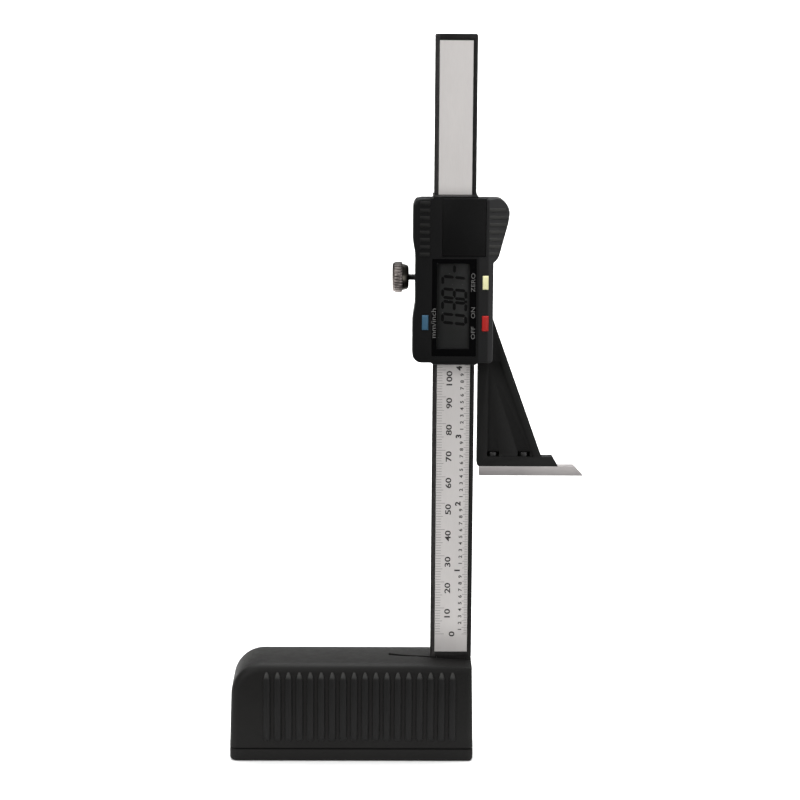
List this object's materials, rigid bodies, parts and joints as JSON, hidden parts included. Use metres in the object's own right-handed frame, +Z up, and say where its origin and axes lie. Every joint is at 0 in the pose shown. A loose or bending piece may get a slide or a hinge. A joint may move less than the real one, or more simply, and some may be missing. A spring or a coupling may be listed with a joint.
{
  "type": "digital height gauge",
  "caption": "Digital height gauge: ribbed moulded base, upright scale beam, and a slider with display, lock screw and an arm carrying a flat steel scribing blade.",
  "frame": {"origin": "centre of the base's underside, on the surface the gauge stands on", "axes": "+X along the base towards the beam and the blade, +Y away from the display, +Z up along the beam"},
  "size_m": [0.1304, 0.028, 0.2678],
  "materials": {
    "base_moulding": "fine matt texture",
    "plain_steel": "plain",
    "dark_screw": "black oxide",
    "ballast_iron": "as cast",
    "magnet": "nickel plated",
    "beam_composite": "smooth moulded composite",
    "insert_brass": "turned",
    "laminate": "solder resist",
    "scale_print": "satin printed film",
    "slider_moulding": "fine matt texture",
    "window": "clear panel with a black border",
    "display_glass": "display cell",
    "contact_rubber": "soft",
    "cell_can": "nickel plated",
    "zero_cap": "smooth",
    "power_cap": "smooth",
    "unit_cap": "smooth",
    "blade_steel": "ground",
    "knob_metal": "turned and plated"
  },
  "bodies": {
    "base": {"base_housing": "base_moulding", "base_plate": "base_moulding", "base_screws": "plain_steel", "ballast_block": "ballast_iron", "base_magnets": "magnet", "beam": "beam_composite", "beam_inserts": "insert_brass", "beam_screws": "dark_screw", "scale_strip": "laminate", "scale_label": "scale_print", "end_stop": "beam_composite", "end_stop_screw": "dark_screw"},
    "slider": {"slider_body": "slider_moulding", "gib_strip": "insert_brass", "gib_screws": "dark_screw", "slider_cover": "slider_moulding", "cover_screws": "dark_screw", "display_window": "window", "lcd_panel": "display_glass", "contact_strip": "contact_rubber", "main_board": "laminate", "key_switches": "plain_steel", "battery_contact": "plain_steel", "battery": "cell_can", "scriber_blade": "blade_steel", "blade_screws": "dark_screw", "blade_nuts": "dark_screw"},
    "battery_door": {"battery_door": "slider_moulding"},
    "zero_button": {"zero_button": "zero_cap"},
    "power_button": {"power_button": "power_cap"},
    "unit_button": {"unit_button": "unit_cap"},
    "lock_shank": {"lock_shank": "knob_metal"},
    "lock_knob": {"lock_knob": "knob_metal"}
  },
  "joints": [
    {"name": "slider_height", "type": "slide", "parent": "base", "child": "slider", "axis": [0, 0, 1], "range_m": [-0.1066, 0.046]},
    {"name": "battery_door_slide", "type": "slide", "parent": "slider", "child": "battery_door", "axis": [0, 0, 1], "range_m": [0, 0.018]},
    {"name": "zero_press", "type": "slide", "parent": "slider", "child": "zero_button", "axis": [0, 1, 0], "range_m": [0, 0.0004], "stiffness_N_per_m": 600, "springref_m": -0.0006},
    {"name": "power_press", "type": "slide", "parent": "slider", "child": "power_button", "axis": [0, 1, 0], "range_m": [0, 0.0004], "stiffness_N_per_m": 600, "springref_m": -0.0006},
    {"name": "unit_press", "type": "slide", "parent": "slider", "child": "unit_button", "axis": [0, 1, 0], "range_m": [0, 0.0004], "stiffness_N_per_m": 600, "springref_m": -0.0006},
    {"name": "lock_feed", "type": "slide", "parent": "slider", "child": "lock_shank", "axis": [-1, 0, 0], "range_m": [0, 0.0005]},
    {"name": "lock_turn", "type": "hinge", "parent": "lock_shank", "child": "lock_knob", "pos_m": [0.0165, 0, 0.18], "axis": [-1, 0, 0], "range_deg": [0, 360]}
  ],
  "couplings": [
    {"joint": "lock_turn", "follows": "lock_feed", "rad_per_m": 12566}
  ]
}
